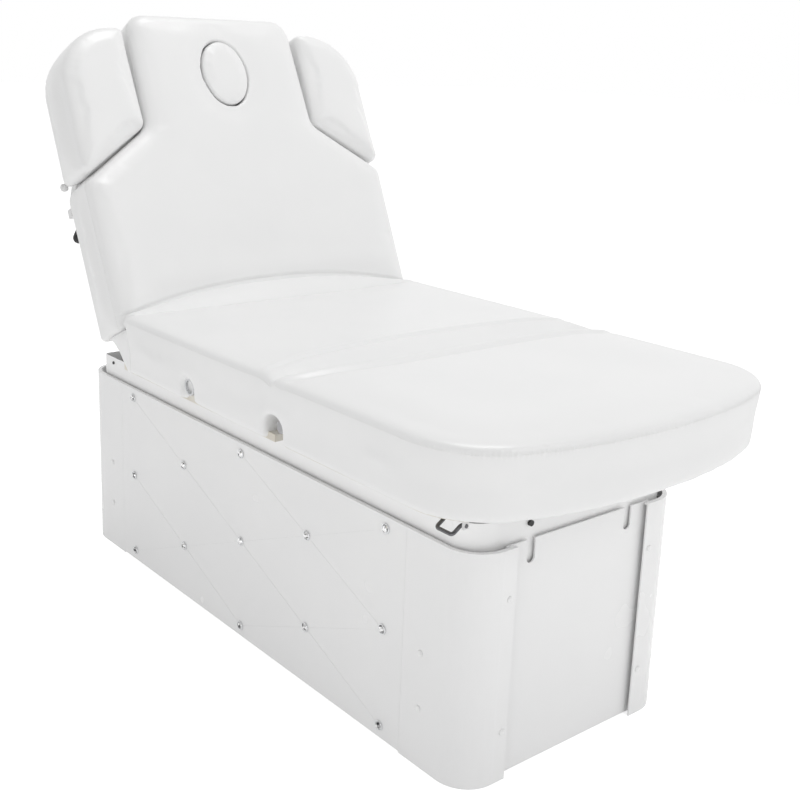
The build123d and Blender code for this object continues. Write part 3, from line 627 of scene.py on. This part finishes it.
def build_mattress():
    outline = mattress_outline(PAD_HALF_TOP)
    levels = [(PAD_BOTTOM + 1.5, SIDE_LEAN + 9), (PAD_BOTTOM + 2.5, SIDE_LEAN + 3)]
    for k in range(9):
        part = k / 8
        height = PAD_BOTTOM + 5 + part * (SEAM_Z - PAD_BOTTOM - 5)
        levels.append((height, SIDE_LEAN * (1 - part) ** 1.6))
    for turn in (25, 50, 70, 90):
        rise = (COVER_TOP_Z - SEAM_Z) * sin(radians(turn))
        levels.append((SEAM_Z + rise, 24 * (1 - cos(radians(turn)))))
    pad = boxed("mattress_cover", outline, levels)
    for side in (-1, 1):
        cut(pad, side_slot(side, SOCKET_Y, SHAFT_Z, SOCKET_SLOT_HALF, 19, 64),
            side_slot(side, KNEE_SLOT_Y, SHAFT_Z, KNEE_SLOT_HALF, 21, 110))
    seam = path_at(outline, SEAM_Z, 0.0)
    hem = path_at(outline, PAD_BOTTOM + 3, SIDE_LEAN)
    holes = []
    for side in (-1, 1):
        for y, half_y in ((SOCKET_Y, SOCKET_SLOT_HALF), (KNEE_SLOT_Y, KNEE_SLOT_HALF)):
            arch = [(cos(pi * k / 16), sin(pi * k / 16)) for k in range(17)]
            holes.append([(side * 368, y + half_y * c, SHAFT_Z + 20 * d) for c, d in arch])
    stuff(pad, [seam], [hem] + holes, 6.0, 6.0, 110.0, 0.3, 2.0)
    shape(pad, knee_shape)
    shape(pad, gather_shape)
    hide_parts("seat_cushion", "leg_cushion")
    thread = stitches("mattress_stitching", [path_at(outline, SEAM_Z - 4.5, -0.3)], 3.2, 1.6, 0.35)
    shape(thread, knee_shape)
    for piece in (pad, thread):
        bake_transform(piece)


# ---------------------------------------------------------------- backrest, wings and face plug
CREASE_MID_S = 36.0
CREASE_END_S = -5.0
CREASE_HALF_X = 345.0
PRESS_S = 62.0
BACK_VOXEL = 5.5
WING_VOXEL = 5.0
BACK_BOARD_N = -118.0
PIPING_N = -22.0
STITCH_N = -26.0
KNUCKLE = (365, 301, -125)
RIM_R = 5.0
PLUG_GAP = 1.4
PLUG_PROUD = 4.0


def back_outline():
    """Backrest plan in (x, s), anticlockwise: wide body, slanted shoulders, narrow head part."""
    right = [(370, -34, 8), (374, 276, 22), (211, 390, 30), (203, 643, 44)]
    left = [(-x, s, r) for x, s, r in reversed(right)]
    return rounded(right + left)


def wing_outline():
    """Right wing plan in (x, s), anticlockwise."""
    return rounded([(217, 392, 16), (376, 286, 13), (376, 608, 128), (221, 608, 12)])


def oval(grow, count=72):
    """Outline of the face opening, anticlockwise, grown by an amount."""
    points = []
    for k in range(count):
        turn = 2 * pi * k / count
        points.append(Vector(((FACE_HALF_X + grow) * cos(turn), FACE_S + (FACE_HALF_S + grow) * sin(turn))))
    return points


def pad_levels(front_r=19.0, back_r=2.5, thick=118.0, pull=2.0):
    """Side profile of a backrest cushion, from its board side (low) to its rounded front."""
    levels = [(-thick, back_r + 3), (-thick + 0.8, back_r * 0.5)]
    for k in range(9):
        part = k / 8
        levels.append((-thick + back_r + part * (thick - back_r - front_r), pull * sin(pi * part)))
    for turn in (22, 45, 66, 90):
        levels.append((-front_r + front_r * sin(radians(turn)), front_r * (1 - cos(radians(turn)))))
    return levels


def crowned(outline, depth, reach):
    """Field that lets the front of a cushion fall away towards its outline."""
    tree = kdtree.KDTree(len(outline))
    for i, p in enumerate(outline):
        tree.insert((p.x, p.y, 0), i)
    tree.balance()

    def field(points, normal):
        flat = points.copy()
        flat[:, 2] = 0
        fall = depth * np.exp(-distances(tree, flat) / reach) * smooth_step((points[:, 2] + 50) / 45)
        return np.outer(fall, (0, 0, -1))

    return field


def posed(obj, pose=BACK_POSE):
    """Stands a piece made flat in (x, s, n) up with the raised backrest."""
    obj.data.transform(pose)
    return obj


def crease_s(x):
    """How far up the backrest the hip roll reaches."""
    part = np.clip(np.abs(x) / CREASE_HALF_X, 0, 1)
    return CREASE_END_S + (CREASE_MID_S - CREASE_END_S) * (1 - part**2.2)


def back_shape(points, normal):
    """Fullness low on the backrest, where the hip roll presses, and dips beside the shoulders."""
    x, s, n = points.T
    front = smooth_step((n + 30) / 25)
    press = 3.5 * bell(s - PRESS_S, 26) * (1 - smooth_step((np.abs(x) - 250) / 110)) * front
    dip = -1.0 * bell(np.abs(x) - 255, 60) * bell(s - 290, 70) * front
    pinch = -3.0 * bell(s - crease_s(x) - 3.5, 2.6) * front
    return normal * (press + dip + pinch)[:, None]


def rim_shape(points, normal):
    """Rounded rim of the face opening."""
    x, s, n = points.T
    stretch = np.hypot(x / FACE_HALF_X, (s - FACE_S) / FACE_HALF_S)
    out = (stretch - 1) * (FACE_HALF_X + FACE_HALF_S) / 2
    inward = np.clip(RIM_R - out, 0, RIM_R)
    fall = (RIM_R - np.sqrt(RIM_R**2 - inward**2)) * (out > -4) * smooth_step((n + 12) / 10)
    return np.outer(fall, (0, 0, -1))


def plug_shape(points, normal):
    """Lifts the plug's front a little proud of the backrest."""
    return np.outer(PLUG_PROUD * smooth_step((points[:, 2] + 40) / 30), (0, 0, 1))


def build_back():
    outline = back_outline()
    pad = boxed("back_cover", outline, pad_levels(pull=-2.5))
    cut(pad, boxed("cutter", oval(PLUG_GAP), [(-200, 0), (100, 0)]))
    rim = [(p.x, p.y, -2.0) for p in oval(3.0)]
    held = [path_at(outline, PIPING_N, 0), path_at(outline, BACK_BOARD_N, 0), rim + rim[:1]]
    stuff(pad, [], held, BACK_VOXEL, 4.5, 50.0)
    shape(pad, crowned(outline, 6.0, 30.0))
    shape(pad, back_shape)
    shape(pad, rim_shape)
    posed(pad)
    finish_piece(pad, "backrest", "vinyl_white", "back_cushion")
    thread = posed(stitches("back_stitching", [path_at(outline, STITCH_N, -0.2)], 3.2, 1.6, 0.4))
    finish_piece(thread, "backrest", "vinyl_white")

    plug_form = oval(-PLUG_GAP)
    plug = boxed("face_plug_cover", plug_form, pad_levels(5.0, 3.0, 118.0, 0.0))
    stuff(plug, [], [path_at(plug_form, -60, 0)], 3.5, 3.0, 25.0)
    shape(plug, plug_shape)
    posed(plug)
    finish_piece(plug, "face_plug", "vinyl_white", "face_plug")


def build_wings():
    outline = wing_outline()
    for side, name in ((-1, "left"), (1, "right")):
        pad = boxed(f"wing_cover_{name}", outline, pad_levels(14.0, pull=-3.0))
        held = [path_at(outline, PIPING_N, 0), path_at(outline, BACK_BOARD_N, 0)]
        stuff(pad, [], held, WING_VOXEL, 6.0, 45.0)
        shape(pad, crowned(outline, 4.0, 18.0))
        thread = stitches(f"wing_stitching_{name}", [path_at(outline, STITCH_N, -0.2)], 3.2, 1.6, 0.4)
        tab = lathe(f"wing_hinge_cap_{name}", [(6.5, 0.0), (8.0, 2.0), (8.4, 8.0), (7.0, 12.0), (3.5, 14.0)],
                    [facing(*KNUCKLE, "Y", pi / 2)], "hinge_white")
        for piece in (pad, thread, tab):
            if side < 0:
                piece.data.transform(Matrix.Scale(-1, 4, (1, 0, 0)))
                piece.data.flip_normals()
            posed(piece)
        finish_piece(pad, f"wing_{name}", "vinyl_white", f"wing_cushion_{name}")
        finish_piece(thread, f"wing_{name}", "vinyl_white")
        finish_piece(tab, f"wing_{name}", "hinge_white")


# ---------------------------------------------------------------- hip: roll in front, gusset in the fold
HIP_HALF = 368.0
HIP_ROUND_X = 348.0
HIP_END_DROP = 13.0


def strip(name, sections, material_name="vinyl_white"):
    """Closed form through equal loops of points, capped at both ends."""
    count = len(sections[0])
    verts = [p for loop in sections for p in loop]
    faces = []
    for i in range(len(sections) - 1):
        for k in range(count):
            m = (k + 1) % count
            low = i * count
            faces.append((low + k, low + m, low + count + m, low + count + k))
    faces.append(tuple(reversed(range(count))))
    last = (len(sections) - 1) * count
    faces.append(tuple(last + k for k in range(count)))
    piece = new_piece(name, verts, faces, material_name)
    bm = bmesh.new()
    bm.from_mesh(piece.data)
    bmesh.ops.recalc_face_normals(bm, faces=bm.faces)
    bm.to_mesh(piece.data)
    bm.free()
    return piece


def side_half(z):
    """Half width of the mattress side at a height."""
    return PAD_HALF_TOP - 0.5 - SIDE_LEAN * max(0.0, (SEAM_Z - z) / (SEAM_Z - PAD_BOTTOM))


def fold_shape(points, normal):
    """Short gathers in the fabric at both sides of the hip fold."""
    x, y, z = points.T
    side = smooth_step((np.abs(x) - 358) / 8)
    gathers = 1.6 * np.sin((y + 0.45 * z) * 2 * pi / 8.5) * bell(z - 594, 17) * bell(y - 238, 14)
    return np.outer(np.sign(x) * side * gathers, (1, 0, 0)).reshape(-1, 3)


def build_hip():
    sections = []
    steps = 120
    for i in range(steps + 1):
        x = -HIP_HALF + 2 * HIP_HALF * i / steps
        edge = min(1.0, max(0.0, (abs(x) - HIP_ROUND_X) / (HIP_HALF - HIP_ROUND_X)))
        drop = HIP_END_DROP * (1 - (1 - edge**2) ** 0.5)
        reach = crease_s(x)
        crest = (BACK_HIP_Y + reach * cos(BACK_ANGLE) - 0.6, TOP_Z + reach * sin(BACK_ANGLE))
        low = (BACK_HIP_Y - 30 * cos(BACK_ANGLE) - 2.0, TOP_Z - 30 * sin(BACK_ANGLE))
        front_y = 196 + 14 * (x / HIP_HALF) ** 2
        fold = crest[1] - TOP_Z
        loop = [(x, front_y + 4, TOP_Z - 12 - drop), (x, front_y, TOP_Z + 2.0 - drop)]
        for k in range(1, 12):
            part = k / 12
            y = front_y + (crest[0] - front_y) * part
            z = TOP_Z + 2.0 * (1 - part) + fold * part**1.15 + 5.0 * sin(pi * part**1.2)
            loop.append((x, y, z - drop))
        loop += [(x, crest[0], crest[1] - drop), (x, low[0], low[1] - 0.3 * drop)]
        loop += [(x, 218, TOP_Z - 34)]
        sections.append(loop)
    roll = strip("hip_roll", sections)
    soften(roll, 4.0, 2)
    finish_piece(roll, "lift", "vinyl_white")
    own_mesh(roll)

    top = [(216, 600), (229, 597), (240, 592.5), (252, 587), (266, 580.5), (284, 571.5), (300, 563)]
    under = [(296, 559), (284, 559), (272, 554), (263, 546), (254, 536), (241, 521), (228, 508)]
    profile = [(214, 510), (214, 540), (214, 570)] + top + under
    sections = []
    for i in range(41):
        part = -1 + 2 * i / 40
        sections.append([(part * (side_half(z) + 0.5), y, z) for y, z in profile])
    gusset = strip("hip_gusset", sections)
    soften(gusset, 4.5, 1)
    shape(gusset, fold_shape)
    finish_piece(gusset, None, "vinyl_white", "hip_cushion")
    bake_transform(gusset)


# ---------------------------------------------------------------- studs, caps and knobs
STUD_ROWS = {0: (-2, 0, 2), 1: (-1, 1)}
STUD_PITCH = (220.0, 90.2)
STUD_MID = (-5.0, 206.1)


def facing(x, y, z, axis, turn):
    """Place on a face whose outward normal is a turn about an axis from +Z."""
    return Matrix.Translation((x, y, z)) @ Matrix.Rotation(turn, 4, axis)


def stud_places():
    """Places of the stud pattern on both side skirts."""
    places = []
    for side in (-1, 1):
        for column in range(5):
            for row in STUD_ROWS[column % 2]:
                y = STUD_MID[0] + (column - 2) * STUD_PITCH[0]
                z = STUD_MID[1] + row * STUD_PITCH[1]
                places.append(facing(side * SKIRT_HALF_X, y, z, "Y", side * pi / 2))
    return places


def build_studs():
    ring = [(8.2, 0.0), (9.5, 0.0), (9.6, 1.2), (9.2, 2.4), (8.4, 3.0), (7.6, 2.7), (7.2, 1.9), (7.0, 1.0)]
    bezels = lathe("stud_rings", ring, stud_places(), "chrome", 32)
    finish_piece(bezels, "base", "chrome", "stud_bezels")
    verts, faces = [], []
    for place in stud_places():
        base = len(verts)
        for radius, height, offset in ((7.1, 1.0, 0.0), (7.1, 2.0, 0.0), (5.4, 4.2, 0.5), (3.0, 5.4, 0.0)):
            for k in range(10):
                turn = 2 * pi * (k + offset) / 10
                verts.append(place @ Vector((radius * cos(turn), radius * sin(turn), height)))
        for band in range(3):
            low = base + band * 10
            for k in range(10):
                m = (k + 1) % 10
                if band == 0:
                    faces.append((low + k, low + m, low + 10 + m, low + 10 + k))
                elif band == 1:
                    faces.append((low + k, low + m, low + 10 + k))
                    faces.append((low + m, low + 10 + m, low + 10 + k))
                else:
                    faces.append((low + k, low + m, low + 10 + m))
                    faces.append((low + k, low + 10 + m, low + 10 + k))
        faces.append(tuple(base + k for k in reversed(range(10))))
        faces.append(tuple(base + 30 + k for k in range(10)))
    gems = new_piece("stud_gems", verts, faces, "crystal", smooth=False)
    finish_piece(gems, "base", "crystal", "stud_crystals")


def build_caps():
    places = []
    for side in (-1, 1):
        for end in (-1, 1):
            for z in (106.0, 205.0):
                places.append(facing(side * SKIRT_HALF_X, end * 542.0, z, "Y", side * pi / 2))
            for z in (90.0, 322.0):
                places.append(facing(side * 170.0, end * 655.0, z, "X", -end * pi / 2))
    dome = [(5.6, 0.0), (5.6, 0.5), (5.2, 1.2), (4.2, 1.8), (2.6, 2.2), (1.0, 2.35)]
    caps = lathe("screw_cap_domes", dome, places, "cap_white")
    finish_piece(caps, "base", "cap_white", "screw_caps")


LOCK_X, LOCK_S, LOCK_N = 351.0, 200.0, -150.0


def build_knobs():
    drop = [(2.0, -12.5), (6.8, -11.6), (10.6, -8.6), (12.6, -4.2), (13.0, 0.0), (11.6, 4.4), (9.0, 8.8),
            (6.4, 12.6), (4.4, 15.6), (3.4, 17.0)]
    for side, name in ((-1, "left"), (1, "right")):
        along = Matrix.Translation((side * LOCK_X, LOCK_S, LOCK_N)) @ Matrix.Rotation(-pi / 2, 4, "X")
        knob = lathe(f"lock_knob_{name}", drop, [along], "black_plastic", 36)
        rod = [(2.2, 15.0), (3.0, 16.0), (3.0, 75.0), (2.4, 77.0)]
        bar = lathe(f"lock_rod_{name}", rod, [along], "steel", 24)
        for piece in (knob, bar):
            posed(piece)
        finish_piece(knob, f"wing_lock_{name}", "black_plastic", f"wing_lock_{name}")
        finish_piece(bar, f"wing_lock_{name}", "steel")


build_mattress()
build_back()
build_wings()
build_hip()
build_studs()
build_caps()
build_knobs()


# ---------------------------------------------------------------- floor, light and camera
def area_light(name, place, target, size, power):
    """Square light out of the camera's sight, aimed at a point."""
    light = bpy.data.lights.new(name, "AREA")
    light.energy = power
    light.size = size
    obj = bpy.data.objects.new(name, light)
    obj.location = place
    obj.rotation_euler = (Vector(target) - Vector(place)).to_track_quat("-Z", "Y").to_euler()
    obj.visible_camera = False
    scene.collection.objects.link(obj)


SHADE_LEVEL = 0.64
ZENITH_LEVEL = 0.60
LIGHTS = {
    "key": ((0.7, 0.1, 4.5), (0, 0.0, 0.5), 1.6, 50.0),
    "front": ((0.6, -3.8, 2.9), (0, 0.0, 0.6), 1.8, 24.0),
    "fill": ((-3.4, -1.6, 0.9), (0, -0.2, 0.4), 1.6, 8.0),
}
FLOOR_HALF = 30.0
FLOOR_GLOW = 0.18
FLOOR_SEEN = 0.60
VIEW_SIDE = (0.64, 0.77, 0.0)


def wash(tree, source, low, high, first, last):
    """Soft gradient of the studio surroundings."""
    node = tree.nodes.new("ShaderNodeMapRange")
    node.interpolation_type = "SMOOTHSTEP"
    node.inputs["From Min"].default_value = low
    node.inputs["From Max"].default_value = high
    node.inputs["To Min"].default_value = first
    node.inputs["To Max"].default_value = last
    tree.links.new(source, node.inputs["Value"])
    return node.outputs["Result"]


def studio():
    mesh = bpy.data.meshes.new("studio_floor")
    corners = [(x * FLOOR_HALF, y * FLOOR_HALF, 0) for x, y in ((-1, -1), (1, -1), (1, 1), (-1, 1))]
    mesh.from_pydata(corners, [], [(0, 1, 2, 3)])
    floor = bpy.data.objects.new("studio_floor", mesh)
    scene.collection.objects.link(floor)
    mat, tree, bsdf = shader("studio_floor")
    bsdf.inputs["Base Color"].default_value = (0.95, 0.95, 0.95, 1)
    bsdf.inputs["Roughness"].default_value = 0.9
    bsdf.inputs["Emission Color"].default_value = (1, 1, 1, 1)
    path = tree.nodes.new("ShaderNodeLightPath")
    glow = ramp(tree, path.outputs["Is Camera Ray"], FLOOR_GLOW, FLOOR_SEEN)
    tree.links.new(glow, bsdf.inputs["Emission Strength"])
    mesh.materials.append(mat)

    world = bpy.data.worlds.new("studio")
    scene.world = world
    world.use_nodes = True
    tree = world.node_tree
    around = tree.nodes.new("ShaderNodeTexCoord")
    toward = tree.nodes.new("ShaderNodeVectorMath")
    toward.operation = "DOT_PRODUCT"
    toward.inputs[1].default_value = VIEW_SIDE
    tree.links.new(around.outputs["Generated"], toward.inputs[0])
    split = tree.nodes.new("ShaderNodeSeparateXYZ")
    tree.links.new(around.outputs["Generated"], split.inputs["Vector"])
    level = wash(tree, toward.outputs["Value"], -0.6, 0.45, SHADE_LEVEL, 1.0)
    zenith = wash(tree, split.outputs["Z"], 0.15, 0.8, 1.0, ZENITH_LEVEL)
    both = tree.nodes.new("ShaderNodeMath")
    both.operation = "MULTIPLY"
    tree.links.new(level, both.inputs[0])
    tree.links.new(zenith, both.inputs[1])
    background = tree.nodes["Background"]
    background.inputs["Color"].default_value = (1, 1, 1, 1)
    tree.links.new(both.outputs["Value"], background.inputs["Strength"])
    for name, (place, target, size, power) in LIGHTS.items():
        area_light(name, place, target, size, power)
    scene.view_settings.view_transform = "Standard"


CAMERA_PLACE = (-1.39208, -1.80568, 1.14018)
CAMERA_TURN = (0.689756, 0.246095, 0.0341926)
CAMERA_LENS = 52.5068
CAMERA_SHIFT = (0.0212, -0.0678)


def camera():
    yaw, pitch, roll = CAMERA_TURN
    forward = Vector((sin(yaw) * cos(pitch), cos(yaw) * cos(pitch), -sin(pitch)))
    right = Vector((cos(yaw), -sin(yaw), 0))
    up = right.cross(forward)
    right, up = cos(roll) * right + sin(roll) * up, -sin(roll) * right + cos(roll) * up
    data = bpy.data.cameras.new("camera")
    data.lens = CAMERA_LENS
    data.sensor_width = 36.0
    data.shift_x, data.shift_y = CAMERA_SHIFT
    obj = bpy.data.objects.new("camera", data)
    rotation = Matrix((right, up, -forward)).transposed().to_4x4()
    obj.matrix_world = Matrix.Translation(CAMERA_PLACE) @ rotation
    scene.collection.objects.link(obj)
    scene.camera = obj


studio()
camera()
